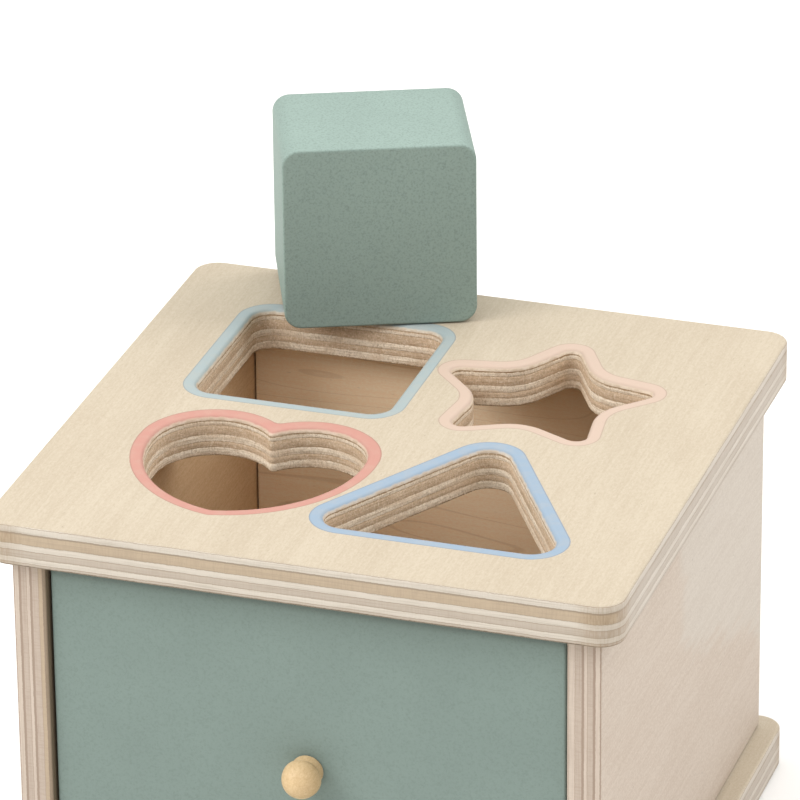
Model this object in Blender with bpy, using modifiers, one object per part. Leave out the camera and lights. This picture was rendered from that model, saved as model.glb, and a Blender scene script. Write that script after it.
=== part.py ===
"""A wooden shape sorter: a plywood case with shaped holes in its top board, a painted drawer and four blocks.

Metres, +Z up. The origin is the centre of the base board's underside, and the drawer faces -Y.
Three of the blocks lie in the drawer under their own holes; the square one stands on the top board.
"""

import math

import bmesh
import bpy
from mathutils import Matrix, Vector

MM = 0.001

# Case
BOARD_SIDE = 150 * MM
BOARD_THICKNESS = 10.4 * MM
BOARD_CORNER_RADIUS = 6 * MM
BOARD_EASE = 0.7 * MM
CASE_HEIGHT = 115 * MM
OVERHANG = 5.3 * MM
PANEL_THICKNESS = 8 * MM
BACK_THICKNESS = 5 * MM
PANEL_EASE = 0.4 * MM
GLUE_GAP = 0.3 * MM

# Holes, as x and y of each centre from the centre of the top board
SQUARE_CENTRE = (-28.5 * MM, 27.9 * MM)
STAR_CENTRE = (27.5 * MM, 25.3 * MM)
HEART_CENTRE = (-26.9 * MM, -21.6 * MM)
TRIANGLE_CENTRE = (25.5 * MM, -36.4 * MM)
SQUARE_SIDE = 48 * MM
SQUARE_CORNER_RADIUS = 5 * MM
TRIANGLE_SIDE = 62 * MM
TRIANGLE_CORNER_RADIUS = 5.4 * MM
STAR_TIP_REACH = 28.4 * MM
STAR_VALLEY_REACH = 15 * MM
STAR_TIP_RADIUS = 2.4 * MM
STAR_VALLEY_RADIUS = 12 * MM
HEART_LOBE_RADIUS = 14.2 * MM
HEART_LOBE_OFFSET = 11.4 * MM
HEART_FLANK_RADIUS = 31.7 * MM
HEART_TIP_RADIUS = 3 * MM
HEART_TIP_DROP = 29.4 * MM
HEART_CLEFT_RADIUS = 1.2 * MM

# Blocks
BLOCK_THICKNESS = 36 * MM
BLOCK_CLEARANCE = 0.8 * MM
BLOCK_EASE = 0.5 * MM
STANDING_BLOCK_YAW = math.radians(22.7)
STANDING_BLOCK_FOOT = (-27.4 * MM, 66.5 * MM)

# Drawer
DRAWER_FRONT_THICKNESS = 8 * MM
DRAWER_FRONT_RECESS = 1.5 * MM
DRAWER_FRONT_SIDE_GAP = 0.6 * MM
DRAWER_FRONT_TOP_GAP = 1.1 * MM
DRAWER_GAP_BELOW = 0.4 * MM
DRAWER_SIDE_GAP = 0.6 * MM
DRAWER_BACK_GAP = 0.6 * MM
DRAWER_WALL = 4.5 * MM
DRAWER_WALL_HEIGHT = 91 * MM
DRAWER_FLOOR_THICKNESS = 3 * MM
DRAWER_FLOOR_HEIGHT = 3 * MM
GROOVE_DEPTH = 2 * MM
KNOB_HEIGHT = 59.4 * MM
KNOB_RADIUS = 4.6 * MM
KNOB_LENGTH = 9 * MM
KNOB_RIM_DISTANCE = 4 * MM
KNOB_NECK_RADIUS = 3.4 * MM
KNOB_FOOT_LENGTH = 0.6 * MM
KNOB_FOOT_RADIUS = 3.8 * MM

# Fixings
FIXING_GAP = 0.3 * MM
CASE_FIXING_Y = 45 * MM
CASE_DOWEL_RADIUS = 2.5 * MM
CASE_DOWEL_LENGTH = 15 * MM
CASE_DOWEL_IN_BOARD = 6 * MM
BASE_SCREW_LENGTH = 28 * MM
BASE_SCREW_RADIUS = 1.75 * MM
BASE_SCREW_HEAD_RADIUS = 3.5 * MM
BASE_SCREW_HEAD_HEIGHT = 2.4 * MM
FRONT_DOWEL_RADIUS = 1.5 * MM
FRONT_DOWEL_LENGTH = 10 * MM
FRONT_DOWEL_HEIGHTS = (35 * MM, 82 * MM)
BRAD_RADIUS = 0.7 * MM
BRAD_HEAD_RADIUS = 1.3 * MM
BRAD_HEAD_HEIGHT = 0.8 * MM
BRAD_LENGTH = 14 * MM
BRAD_HEIGHTS = (30 * MM, 85 * MM)
KNOB_SCREW_RADIUS = 1.5 * MM
KNOB_SCREW_HEAD_RADIUS = 3 * MM
KNOB_SCREW_HEAD_HEIGHT = 1.8 * MM
KNOB_SCREW_IN_KNOB = 5.5 * MM
DRIVER_SLOT_WIDTH = 0.9 * MM
DRIVER_RECESS_DEPTH = 1.3 * MM

# How far a cutter runs on past the surface it cuts
CUT_PAST = 1 * MM

ARC_STEP = math.radians(15)
ROUND_SIDES = 16

# Places worked out from the dimensions above
HALF_SIDE = BOARD_SIDE / 2
TOP_UNDERSIDE = CASE_HEIGHT - BOARD_THICKNESS
PANEL_LOW = BOARD_THICKNESS + GLUE_GAP
PANEL_HIGH = TOP_UNDERSIDE - GLUE_GAP
CASE_HALF_WIDTH = HALF_SIDE - OVERHANG
CASE_INNER_HALF_WIDTH = CASE_HALF_WIDTH - PANEL_THICKNESS
PANEL_CENTRE_X = CASE_HALF_WIDTH - PANEL_THICKNESS / 2
CASE_FRONT = -CASE_HALF_WIDTH
CASE_REAR = CASE_HALF_WIDTH
BACK_INNER = CASE_REAR - BACK_THICKNESS
DRAWER_LOW = BOARD_THICKNESS + DRAWER_GAP_BELOW
DRAWER_HIGH = DRAWER_LOW + DRAWER_WALL_HEIGHT
DRAWER_FRONT_FACE = CASE_FRONT + DRAWER_FRONT_RECESS
DRAWER_FRONT_INNER = DRAWER_FRONT_FACE + DRAWER_FRONT_THICKNESS
DRAWER_OUTER_X = CASE_INNER_HALF_WIDTH - DRAWER_SIDE_GAP
DRAWER_INNER_X = DRAWER_OUTER_X - DRAWER_WALL
DRAWER_REAR = BACK_INNER - DRAWER_BACK_GAP
DRAWER_BACK_INNER = DRAWER_REAR - DRAWER_WALL
FLOOR_LOW = DRAWER_LOW + DRAWER_FLOOR_HEIGHT
FLOOR_HIGH = FLOOR_LOW + DRAWER_FLOOR_THICKNESS

CREAM_WOOD = (0.78, 0.66, 0.49)
PLAIN_PLY = (0.70, 0.58, 0.44)
SAGE_PAINT = (0.27, 0.37, 0.33)
CORAL_PAINT = (0.76, 0.38, 0.33)
PEACH_PAINT = (0.85, 0.62, 0.48)
BLUE_PAINT = (0.36, 0.52, 0.74)
KNOB_WOOD = (0.55, 0.39, 0.22)
STEEL = (0.55, 0.54, 0.52)


def clear_scene():
    for obj in list(bpy.data.objects):
        bpy.data.objects.remove(obj, do_unlink=True)


def new_collection(name):
    collection = bpy.data.collections.new(name)
    bpy.context.scene.collection.children.link(collection)
    return collection


def finish_material(name, colour, roughness, metallic=0.0):
    material = bpy.data.materials.new(name)
    material.use_nodes = True
    shader = material.node_tree.nodes["Principled BSDF"]
    shader.inputs["Base Color"].default_value = (*colour, 1.0)
    shader.inputs["Roughness"].default_value = roughness
    shader.inputs["Metallic"].default_value = metallic
    return material


def place(obj, material=None, parent=None):
    """Links a part to the part collection, or a cutter, which has no material, to the cutters."""
    if material is None:
        CUTTERS.objects.link(obj)
        obj.hide_render = True
        obj.display_type = "WIRE"
        return obj
    PARTS.objects.link(obj)
    obj.data.materials.append(material)
    if parent is not None:
        obj.parent = parent
        obj.matrix_parent_inverse = Matrix.Translation(-parent.location)
    return obj


def pivot(name, location):
    empty = bpy.data.objects.new(name, None)
    empty.location = location
    PARTS.objects.link(empty)
    return empty


def box(name, low, high, material=None, ease=0.0, parent=None):
    low, high = Vector(low), Vector(high)
    mesh = bpy.data.meshes.new(name)
    shape = bmesh.new()
    bmesh.ops.create_cube(shape, size=1.0)
    bmesh.ops.scale(shape, vec=high - low, verts=shape.verts)
    bmesh.ops.translate(shape, vec=(low + high) / 2, verts=shape.verts)
    shape.to_mesh(mesh)
    shape.free()
    obj = place(bpy.data.objects.new(name, mesh), material, parent)
    if ease:
        bevel = obj.modifiers.new("eased edges", "BEVEL")
        bevel.width = ease
        bevel.segments = 2
    return obj


def rod(name, start, end, radius, material=None, parent=None):
    start, end = Vector(start), Vector(end)
    mesh = bpy.data.meshes.new(name)
    shape = bmesh.new()
    bmesh.ops.create_cone(
        shape,
        cap_ends=True,
        segments=ROUND_SIDES,
        radius1=radius,
        radius2=radius,
        depth=(end - start).length,
        matrix=Matrix.Translation((start + end) / 2)
        @ (end - start).to_track_quat("Z", "Y").to_matrix().to_4x4(),
    )
    shape.to_mesh(mesh)
    shape.free()
    mesh.shade_smooth()
    mesh.set_sharp_from_angle(angle=math.radians(40))
    return place(bpy.data.objects.new(name, mesh), material, parent)


def turned(name, profile, origin, direction, material=None, parent=None):
    """A round piece: profile holds (radius, distance along direction), from the near end to the far one."""
    mesh = bpy.data.meshes.new(name)
    points = [(radius, 0.0, along) for radius, along in reversed(profile)]
    edges = [(i, i + 1) for i in range(len(points) - 1)]
    mesh.from_pydata(points, edges, [])
    obj = place(bpy.data.objects.new(name, mesh), material)
    turn = Vector(direction).to_track_quat("Z", "Y").to_matrix().to_4x4()
    obj.matrix_world = Matrix.Translation(origin) @ turn
    if parent is not None:
        obj.parent = parent
        obj.matrix_parent_inverse = Matrix.Translation(-parent.location)
    screw = obj.modifiers.new("turned", "SCREW")
    screw.steps = screw.render_steps = ROUND_SIDES
    screw.use_merge_vertices = True
    screw.merge_threshold = 0.00001
    screw.use_smooth_shade = True
    return obj


def cut(obj, *cutters):
    for cutter in cutters:
        boolean = obj.modifiers.new(cutter.name, "BOOLEAN")
        boolean.operation = "DIFFERENCE"
        boolean.solver = "EXACT"
        boolean.object = cutter


def arc(centre, radius, start, end):
    """Points along an arc, both ends included."""
    steps = max(2, math.ceil(abs(end - start) / ARC_STEP))
    angles = [start + (end - start) * i / steps for i in range(steps + 1)]
    return [(centre[0] + radius * math.cos(a), centre[1] + radius * math.sin(a)) for a in angles]


def rounded_corner(before, corner, after, radius):
    """The arc that rounds a polygon's corner."""
    corner = Vector(corner)
    back = (Vector(before) - corner).normalized()
    on = (Vector(after) - corner).normalized()
    half = back.angle(on) / 2
    centre = corner + (back + on).normalized() * radius / math.sin(half)
    first = corner + back * radius / math.tan(half) - centre
    last = corner + on * radius / math.tan(half) - centre
    start = math.atan2(first.y, first.x)
    turn = math.remainder(math.atan2(last.y, last.x) - start, 2 * math.pi)
    return arc(centre, radius, start, start + turn)


def rounded_polygon(corners, radii):
    points = []
    for i, corner in enumerate(corners):
        after = corners[(i + 1) % len(corners)]
        points += rounded_corner(corners[i - 1], corner, after, radii[i])
    return points


def square_outline(inset=0.0, side=SQUARE_SIDE, radius=SQUARE_CORNER_RADIUS):
    half = side / 2 - inset
    corners = [(half, half), (-half, half), (-half, -half), (half, -half)]
    return rounded_polygon(corners, [radius - inset] * 4)


def triangle_outline(inset=0.0):
    reach = TRIANGLE_SIDE / math.sqrt(3) - 2 * inset
    angles = [math.radians(a) for a in (90, 210, 330)]
    corners = [(reach * math.cos(a), reach * math.sin(a)) for a in angles]
    return rounded_polygon(corners, [TRIANGLE_CORNER_RADIUS - inset] * 3)


def star_outline(inset=0.0):
    tip, valley, step = STAR_TIP_REACH, STAR_VALLEY_REACH, math.radians(36)
    edge = math.sqrt(tip**2 + valley**2 - 2 * tip * valley * math.cos(step))
    edge_distance = tip * valley * math.sin(step) / edge
    scale = 1 - inset / edge_distance
    corners, radii = [], []
    for i in range(10):
        reach = (valley if i % 2 else tip) * scale
        angle = math.radians(90) + i * step
        corners.append((reach * math.cos(angle), reach * math.sin(angle)))
        radii.append(STAR_VALLEY_RADIUS + inset if i % 2 else STAR_TIP_RADIUS - inset)
    return rounded_polygon(corners, radii)


def heart_outline(inset=0.0):
    """Lobes centred on y = 0, long flank arcs tangent to them, a tip arc and a small arc in the cleft."""
    lobe, tip = Vector((HEART_LOBE_OFFSET, 0)), Vector((0, -HEART_TIP_DROP))
    lobe_radius = HEART_LOBE_RADIUS - inset
    tip_radius = HEART_TIP_RADIUS - inset
    flank_radius = HEART_FLANK_RADIUS - inset
    to_lobe, to_tip = flank_radius - lobe_radius, flank_radius - tip_radius
    apart = (lobe - tip).length
    along = (to_tip**2 - to_lobe**2 + apart**2) / (2 * apart)
    toward = (lobe - tip) / apart
    flank = tip + toward * along + Vector((-toward.y, toward.x)) * math.sqrt(to_tip**2 - along**2)
    at_tip = math.atan2(tip.y - flank.y, tip.x - flank.x)
    at_lobe = math.atan2(lobe.y - flank.y, lobe.x - flank.x)
    cleft_radius = HEART_CLEFT_RADIUS + inset
    cleft = Vector((0, math.sqrt((lobe_radius + cleft_radius) ** 2 - lobe.x**2)))
    at_cleft = math.atan2(cleft.y - lobe.y, cleft.x - lobe.x)
    from_lobe = math.atan2(lobe.y - cleft.y, lobe.x - cleft.x)
    right = arc(tip, tip_radius, -math.pi / 2, at_tip)
    right += arc(flank, flank_radius, at_tip, at_lobe)[1:]
    right += arc(lobe, lobe_radius, at_lobe, at_cleft)[1:]
    right += arc(cleft, cleft_radius, from_lobe, -math.pi / 2)[1:]
    left = [(-x, y) for x, y in reversed(right[1:-1])]
    return right + left


def moved(points, centre):
    return [(x + centre[0], y + centre[1]) for x, y in points]


def plate(name, outline, holes, low, high, material=None, ease=0.0, parent=None):
    """A flat piece of any outline, with holes and eased rims, as a filled 2D curve made into a mesh."""
    curve = bpy.data.curves.new(name, "CURVE")
    curve.dimensions = "2D"
    curve.fill_mode = "BOTH"
    curve.extrude = (high - low) / 2 - ease
    curve.bevel_depth = ease
    curve.bevel_resolution = 0
    curve.offset = -ease
    for points, is_hole in [(outline, False)] + [(hole, True) for hole in holes]:
        spline = curve.splines.new("POLY")
        spline.points.add(len(points) - 1)
        for point, (x, y) in zip(spline.points, reversed(points) if is_hole else points):
            point.co = (x, y, 0, 1)
        spline.use_cyclic_u = True
    source = bpy.data.objects.new(name + "_outline", curve)
    bpy.context.scene.collection.objects.link(source)
    source.location = (0, 0, (low + high) / 2)
    bpy.context.view_layer.update()
    graph = bpy.context.evaluated_depsgraph_get()
    mesh = bpy.data.meshes.new_from_object(source.evaluated_get(graph))
    mesh.materials.clear()
    mesh.transform(source.matrix_world)
    mesh.name = name
    bpy.data.objects.remove(source, do_unlink=True)
    shape = bmesh.new()
    shape.from_mesh(mesh)
    bmesh.ops.remove_doubles(shape, verts=shape.verts, dist=0.00001)
    bmesh.ops.recalc_face_normals(shape, faces=shape.faces)
    shape.to_mesh(mesh)
    shape.free()
    mesh.shade_smooth()
    mesh.set_sharp_from_angle(angle=math.radians(30))
    return place(bpy.data.objects.new(name, mesh), material, parent)


def case_fixings():
    """(name, x, y) of each fixing between a side panel and a board."""
    sides = (("left", -PANEL_CENTRE_X), ("right", PANEL_CENTRE_X))
    ends = (("front", -CASE_FIXING_Y), ("rear", CASE_FIXING_Y))
    return [(f"{side}_{end}", x, y) for side, x in sides for end, y in ends]


def make_boards():
    ply = finish_material("plywood_boards", CREAM_WOOD, 0.55)
    outline = square_outline(0.0, BOARD_SIDE, BOARD_CORNER_RADIUS)
    holes = [
        moved(square_outline(), SQUARE_CENTRE),
        moved(star_outline(), STAR_CENTRE),
        moved(heart_outline(), HEART_CENTRE),
        moved(triangle_outline(), TRIANGLE_CENTRE),
    ]
    top = plate("top_board", outline, holes, TOP_UNDERSIDE, CASE_HEIGHT, ply, BOARD_EASE)
    base = plate("base_board", outline, [], 0.0, BOARD_THICKNESS, ply, BOARD_EASE)
    return top, base


def make_case_panels():
    ply = finish_material("plywood_panels", PLAIN_PLY, 0.6)
    panels = {}
    for side, sign in (("left", -1), ("right", 1)):
        near, far = sorted((sign * CASE_INNER_HALF_WIDTH, sign * CASE_HALF_WIDTH))
        low, high = (near, CASE_FRONT, PANEL_LOW), (far, CASE_REAR, PANEL_HIGH)
        panels[side] = box(f"{side}_side_panel", low, high, ply, PANEL_EASE)
    half = CASE_INNER_HALF_WIDTH - GLUE_GAP
    low, high = (-half, BACK_INNER, PANEL_LOW), (half, CASE_REAR, PANEL_HIGH)
    box("back_panel", low, high, ply, PANEL_EASE)
    return panels


def base_screw_profile(gap=0.0):
    """The countersunk head's flat at 0, then the shank and a short point."""
    shank, head = BASE_SCREW_RADIUS + gap, BASE_SCREW_HEAD_RADIUS + gap
    point = 2 * shank
    return [
        (0.0, 0.0),
        (head, 0.0),
        (shank, BASE_SCREW_HEAD_HEIGHT + gap),
        (shank, BASE_SCREW_LENGTH + gap - point),
        (0.0, BASE_SCREW_LENGTH + gap),
    ]


def driver_cross(name, x, y):
    """The two cutters that make a screw head's cross recess."""
    long, short = BASE_SCREW_HEAD_RADIUS * 0.7, DRIVER_SLOT_WIDTH / 2
    low, high = -CUT_PAST, FIXING_GAP + DRIVER_RECESS_DEPTH
    along_x = box(f"cut_slot_{name}", (x - long, y - short, low), (x + long, y + short, high))
    along_y = box(f"cut_cross_{name}", (x - short, y - long, low), (x + short, y + long, high))
    return along_x, along_y


def make_case_fixings(top, base, panels):
    birch = finish_material("dowel_birch", CREAM_WOOD, 0.7)
    steel = finish_material("screw_steel", STEEL, 0.35, 1.0)
    dowel_high = TOP_UNDERSIDE + CASE_DOWEL_IN_BOARD
    dowel_low = dowel_high - CASE_DOWEL_LENGTH
    for name, x, y in case_fixings():
        panel = panels[name.split("_")[0]]
        rod(f"case_dowel_{name}", (x, y, dowel_low), (x, y, dowel_high), CASE_DOWEL_RADIUS, birch)
        start, end = (x, y, dowel_low - FIXING_GAP), (x, y, dowel_high + FIXING_GAP)
        bore = rod(f"cut_dowel_{name}", start, end, CASE_DOWEL_RADIUS + FIXING_GAP)
        cut(panel, bore)
        cut(top, bore)
        screw = turned(f"base_screw_{name}", base_screw_profile(), (x, y, FIXING_GAP), (0, 0, 1), steel)
        cut(screw, *driver_cross(name, x, y))
        sink = turned(f"cut_screw_{name}", base_screw_profile(FIXING_GAP), (x, y, 0), (0, 0, 1))
        mouth_start, mouth_end = (x, y, -CUT_PAST), (x, y, 2 * FIXING_GAP)
        mouth = rod(f"cut_mouth_{name}", mouth_start, mouth_end, BASE_SCREW_HEAD_RADIUS + FIXING_GAP)
        cut(base, sink, mouth)
        cut(panel, sink)


def make_drawer_box(drawer):
    ply = finish_material("plywood_drawer", PLAIN_PLY, 0.65)
    paint = finish_material("paint_sage_front", SAGE_PAINT, 0.55)
    half_front = CASE_INNER_HALF_WIDTH - DRAWER_FRONT_SIDE_GAP
    front = box(
        "drawer_front",
        (-half_front, DRAWER_FRONT_FACE, DRAWER_LOW),
        (half_front, DRAWER_FRONT_INNER, TOP_UNDERSIDE - DRAWER_FRONT_TOP_GAP),
        paint,
        PANEL_EASE,
        drawer,
    )
    sides = {}
    for side, sign in (("left", -1), ("right", 1)):
        near, far = sorted((sign * DRAWER_INNER_X, sign * DRAWER_OUTER_X))
        low = (near, DRAWER_FRONT_INNER + GLUE_GAP, DRAWER_LOW)
        high = (far, DRAWER_REAR, DRAWER_HIGH)
        sides[side] = box(f"drawer_{side}_side", low, high, ply, PANEL_EASE, drawer)
    half_back = DRAWER_INNER_X - GLUE_GAP
    low, high = (-half_back, DRAWER_BACK_INNER, DRAWER_LOW), (half_back, DRAWER_REAR, DRAWER_HIGH)
    back = box("drawer_back", low, high, ply, PANEL_EASE, drawer)
    return front, sides, back, ply


def make_drawer_floor(front, sides, back, ply, drawer):
    half = DRAWER_INNER_X + GROOVE_DEPTH
    front_end = DRAWER_FRONT_INNER - GROOVE_DEPTH
    back_end = DRAWER_BACK_INNER + GROOVE_DEPTH
    low = (-half + GLUE_GAP, front_end + GLUE_GAP, FLOOR_LOW)
    high = (half - GLUE_GAP, back_end - GLUE_GAP, FLOOR_HIGH)
    box("drawer_floor", low, high, ply, 0.0, drawer)
    groove_low, groove_high = FLOOR_LOW - GLUE_GAP, FLOOR_HIGH + GLUE_GAP
    room = box(
        "cut_floor_groove",
        (-half, front_end, groove_low),
        (half, back_end, groove_high),
    )
    for piece in (front, back):
        cut(piece, room)
    past_rear = DRAWER_REAR + CUT_PAST
    for piece in sides.values():
        side_room = box(
            f"cut_groove_{piece.name}",
            (-half, front_end, groove_low),
            (half, past_rear, groove_high),
        )
        cut(piece, side_room)


def make_drawer_fixings(front, sides, back, drawer):
    birch = finish_material("drawer_dowel_birch", CREAM_WOOD, 0.7)
    steel = finish_material("brad_steel", STEEL, 0.4, 1.0)
    dowel_x = DRAWER_OUTER_X - DRAWER_WALL / 2
    dowel_start = DRAWER_FRONT_INNER - FRONT_DOWEL_LENGTH / 2
    dowel_end = DRAWER_FRONT_INNER + FRONT_DOWEL_LENGTH / 2
    brad_y = DRAWER_BACK_INNER + DRAWER_WALL / 2
    for side, sign in (("left", -1), ("right", 1)):
        for level, z in zip(("lower", "upper"), FRONT_DOWEL_HEIGHTS):
            x = sign * dowel_x
            name = f"{side}_{level}"
            start, end = (x, dowel_start, z), (x, dowel_end, z)
            rod(f"front_dowel_{name}", start, end, FRONT_DOWEL_RADIUS, birch, drawer)
            start, end = (x, dowel_start - FIXING_GAP, z), (x, dowel_end + FIXING_GAP, z)
            bore = rod(f"cut_front_dowel_{name}", start, end, FRONT_DOWEL_RADIUS + FIXING_GAP)
            cut(front, bore)
            cut(sides[side], bore)
        for level, z in zip(("lower", "upper"), BRAD_HEIGHTS):
            origin = (sign * (DRAWER_OUTER_X - FIXING_GAP / 3), brad_y, z)
            inward = (-sign, 0, 0)
            name = f"{side}_{level}"
            turned(f"back_brad_{name}", brad_profile(), origin, inward, steel, drawer)
            bore = turned(f"cut_back_brad_{name}", brad_profile(FIXING_GAP), origin, inward)
            cut(sides[side], bore)
            cut(back, bore)


def brad_profile(gap=0.0):
    """The head's flat is at 0, and the cutter's runs on past the surface."""
    radius, head = BRAD_RADIUS + gap, BRAD_HEAD_RADIUS + gap
    near = -CUT_PAST if gap else 0.0
    return [
        (0.0, near),
        (head, near),
        (head, BRAD_HEAD_HEIGHT + gap),
        (radius, BRAD_HEAD_HEIGHT + gap),
        (radius, BRAD_LENGTH + gap - radius),
        (0.0, BRAD_LENGTH + gap),
    ]


def knob_profile():
    """A small foot, a waisted neck, a rounded rim and a domed head."""
    rim, flare = KNOB_RIM_DISTANCE, KNOB_RADIUS - KNOB_NECK_RADIUS
    foot = [(0.0, 0.0), (KNOB_FOOT_RADIUS, 0.0), (KNOB_FOOT_RADIUS, KNOB_FOOT_LENGTH)]
    waist = (rim + KNOB_FOOT_LENGTH) / 2
    under = [
        (KNOB_NECK_RADIUS + flare * math.cos(a) ** 2, rim - (rim - waist) * math.sin(a))
        for a in angles(90, 0, 5)[:-1]
    ]
    dome = [(KNOB_RADIUS * math.sin(a), rim + (KNOB_LENGTH - rim) * math.cos(a)) for a in angles(90, 0, 7)]
    return foot + under + dome


def angles(first, last, count):
    return [math.radians(first + (last - first) * i / (count - 1)) for i in range(count)]


def make_knob(front, drawer):
    wood = finish_material("knob_beech", KNOB_WOOD, 0.45)
    steel = finish_material("knob_screw_steel", STEEL, 0.35, 1.0)
    seat = (0, DRAWER_FRONT_FACE - GLUE_GAP, KNOB_HEIGHT)
    knob = turned("drawer_knob", knob_profile(), seat, (0, -1, 0), wood, drawer)
    head_seat = DRAWER_FRONT_INNER + GLUE_GAP
    tip = DRAWER_FRONT_FACE - KNOB_SCREW_IN_KNOB
    length = head_seat + KNOB_SCREW_HEAD_HEIGHT - tip
    profile = [
        (0.0, 0.0),
        (KNOB_SCREW_HEAD_RADIUS * 0.6, 0.0),
        (KNOB_SCREW_HEAD_RADIUS, KNOB_SCREW_HEAD_HEIGHT * 0.5),
        (KNOB_SCREW_HEAD_RADIUS, KNOB_SCREW_HEAD_HEIGHT),
        (KNOB_SCREW_RADIUS, KNOB_SCREW_HEAD_HEIGHT),
        (KNOB_SCREW_RADIUS, length - KNOB_SCREW_RADIUS),
        (0.0, length),
    ]
    head_end = head_seat + KNOB_SCREW_HEAD_HEIGHT
    screw = turned("knob_screw", profile, (0, head_end, KNOB_HEIGHT), (0, -1, 0), steel, drawer)
    half_slot = DRIVER_SLOT_WIDTH / 2
    slot_end = head_end - KNOB_SCREW_HEAD_HEIGHT / 2
    slot_low = (-KNOB_SCREW_HEAD_RADIUS, slot_end, KNOB_HEIGHT - half_slot)
    slot_high = (KNOB_SCREW_HEAD_RADIUS, head_end + CUT_PAST, KNOB_HEIGHT + half_slot)
    cut(screw, box("cut_knob_screw_slot", slot_low, slot_high))
    start, end = (0, head_end, KNOB_HEIGHT), (0, tip - FIXING_GAP, KNOB_HEIGHT)
    bore = rod("cut_knob_screw_bore", start, end, KNOB_SCREW_RADIUS + FIXING_GAP)
    cut(front, bore)
    cut(knob, bore)


def make_blocks(drawer):
    """The heart, star and triangle lie in the drawer; the square block stands on edge on the top board."""
    low = FLOOR_HIGH + GLUE_GAP
    for name, outline, centre, colour in (
        ("heart_block", heart_outline, HEART_CENTRE, CORAL_PAINT),
        ("star_block", star_outline, STAR_CENTRE, PEACH_PAINT),
        ("triangle_block", triangle_outline, TRIANGLE_CENTRE, BLUE_PAINT),
    ):
        paint = finish_material(f"paint_{name}", colour, 0.55)
        points = moved(outline(BLOCK_CLEARANCE), centre)
        plate(name, points, [], low, low + BLOCK_THICKNESS, paint, BLOCK_EASE, drawer)
    paint = finish_material("paint_square_block", SAGE_PAINT, 0.55)
    points = square_outline(BLOCK_CLEARANCE)
    standing = plate("square_block", points, [], 0, BLOCK_THICKNESS, paint, BLOCK_EASE)
    centre_height = CASE_HEIGHT + GLUE_GAP + SQUARE_SIDE / 2 - BLOCK_CLEARANCE
    upright = Matrix.Rotation(math.radians(90), 4, "X")
    centred = Matrix.Translation((0, 0, -BLOCK_THICKNESS / 2))
    turned_round = Matrix.Rotation(STANDING_BLOCK_YAW, 4, "Z")
    foot = Matrix.Translation((*STANDING_BLOCK_FOOT, centre_height))
    standing.data.transform(turned_round @ upright @ centred)
    standing.matrix_world = foot


clear_scene()
PARTS = new_collection("shape_sorter")
CUTTERS = new_collection("cutters")
drawer_pivot = pivot("drawer_slide_axis", (0, DRAWER_FRONT_FACE, DRAWER_LOW))
top_board, base_board = make_boards()
side_panels = make_case_panels()
make_case_fixings(top_board, base_board, side_panels)
drawer_front, drawer_sides, drawer_back, drawer_ply = make_drawer_box(drawer_pivot)
make_drawer_floor(drawer_front, drawer_sides, drawer_back, drawer_ply, drawer_pivot)
make_drawer_fixings(drawer_front, drawer_sides, drawer_back, drawer_pivot)
make_knob(drawer_front, drawer_pivot)
make_blocks(drawer_pivot)
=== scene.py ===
import math
import random
from types import SimpleNamespace

import bmesh
import bpy
from mathutils import Matrix, Vector


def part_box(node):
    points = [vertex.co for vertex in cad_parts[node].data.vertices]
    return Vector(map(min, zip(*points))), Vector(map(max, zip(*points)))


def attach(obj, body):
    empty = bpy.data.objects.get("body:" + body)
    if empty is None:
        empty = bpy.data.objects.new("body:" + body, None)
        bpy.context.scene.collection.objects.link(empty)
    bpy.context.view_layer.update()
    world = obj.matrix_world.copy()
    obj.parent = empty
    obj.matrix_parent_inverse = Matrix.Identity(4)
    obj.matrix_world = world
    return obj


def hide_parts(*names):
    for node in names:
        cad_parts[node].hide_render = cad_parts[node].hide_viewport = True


# The looks of a wooden shape sorter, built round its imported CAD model. Metres, +Z up, the drawer faces -Y.
# Every new piece is made in the CAD model's own place, with its object at the origin.

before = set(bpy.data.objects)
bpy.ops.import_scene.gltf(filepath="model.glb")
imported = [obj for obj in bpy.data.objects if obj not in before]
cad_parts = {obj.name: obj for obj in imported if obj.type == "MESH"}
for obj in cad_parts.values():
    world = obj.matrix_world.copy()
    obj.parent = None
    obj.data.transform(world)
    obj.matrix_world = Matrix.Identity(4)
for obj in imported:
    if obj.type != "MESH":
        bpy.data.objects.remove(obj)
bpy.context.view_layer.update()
MM = 0.001
X, Y, Z = range(3)

# Holes in the top board, as in the CAD: centres from the board's middle, then the shapes' own sizes
SQUARE_CENTRE = (-28.5 * MM, 27.9 * MM)
STAR_CENTRE = (27.5 * MM, 25.3 * MM)
HEART_CENTRE = (-26.9 * MM, -21.6 * MM)
TRIANGLE_CENTRE = (25.5 * MM, -36.4 * MM)
SQUARE_SIDE = 48 * MM
SQUARE_CORNER_RADIUS = 5 * MM
TRIANGLE_SIDE = 62 * MM
TRIANGLE_CORNER_RADIUS = 5.4 * MM
STAR_TIP_REACH = 28.4 * MM
STAR_VALLEY_REACH = 15 * MM
STAR_TIP_RADIUS = 2.4 * MM
STAR_VALLEY_RADIUS = 12 * MM
HEART_LOBE_RADIUS = 14.2 * MM
HEART_LOBE_OFFSET = 11.4 * MM
HEART_FLANK_RADIUS = 31.7 * MM
HEART_TIP_RADIUS = 3 * MM
HEART_TIP_DROP = 29.4 * MM
HEART_CLEFT_RADIUS = 1.2 * MM

# The painted ring round each hole: flat paint, then the eased edge that runs down into the hole
RING_WIDTH = 3.4 * MM
RING_EASE = 1.2 * MM
RING_SURROUND = 0.35 * MM
RING_HEART_TIP_RADIUS = 4 * MM
RING_HEART_TIP_DROP = 31.7 * MM
RING_HEART_CLEFT_RADIUS = 2 * MM

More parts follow.
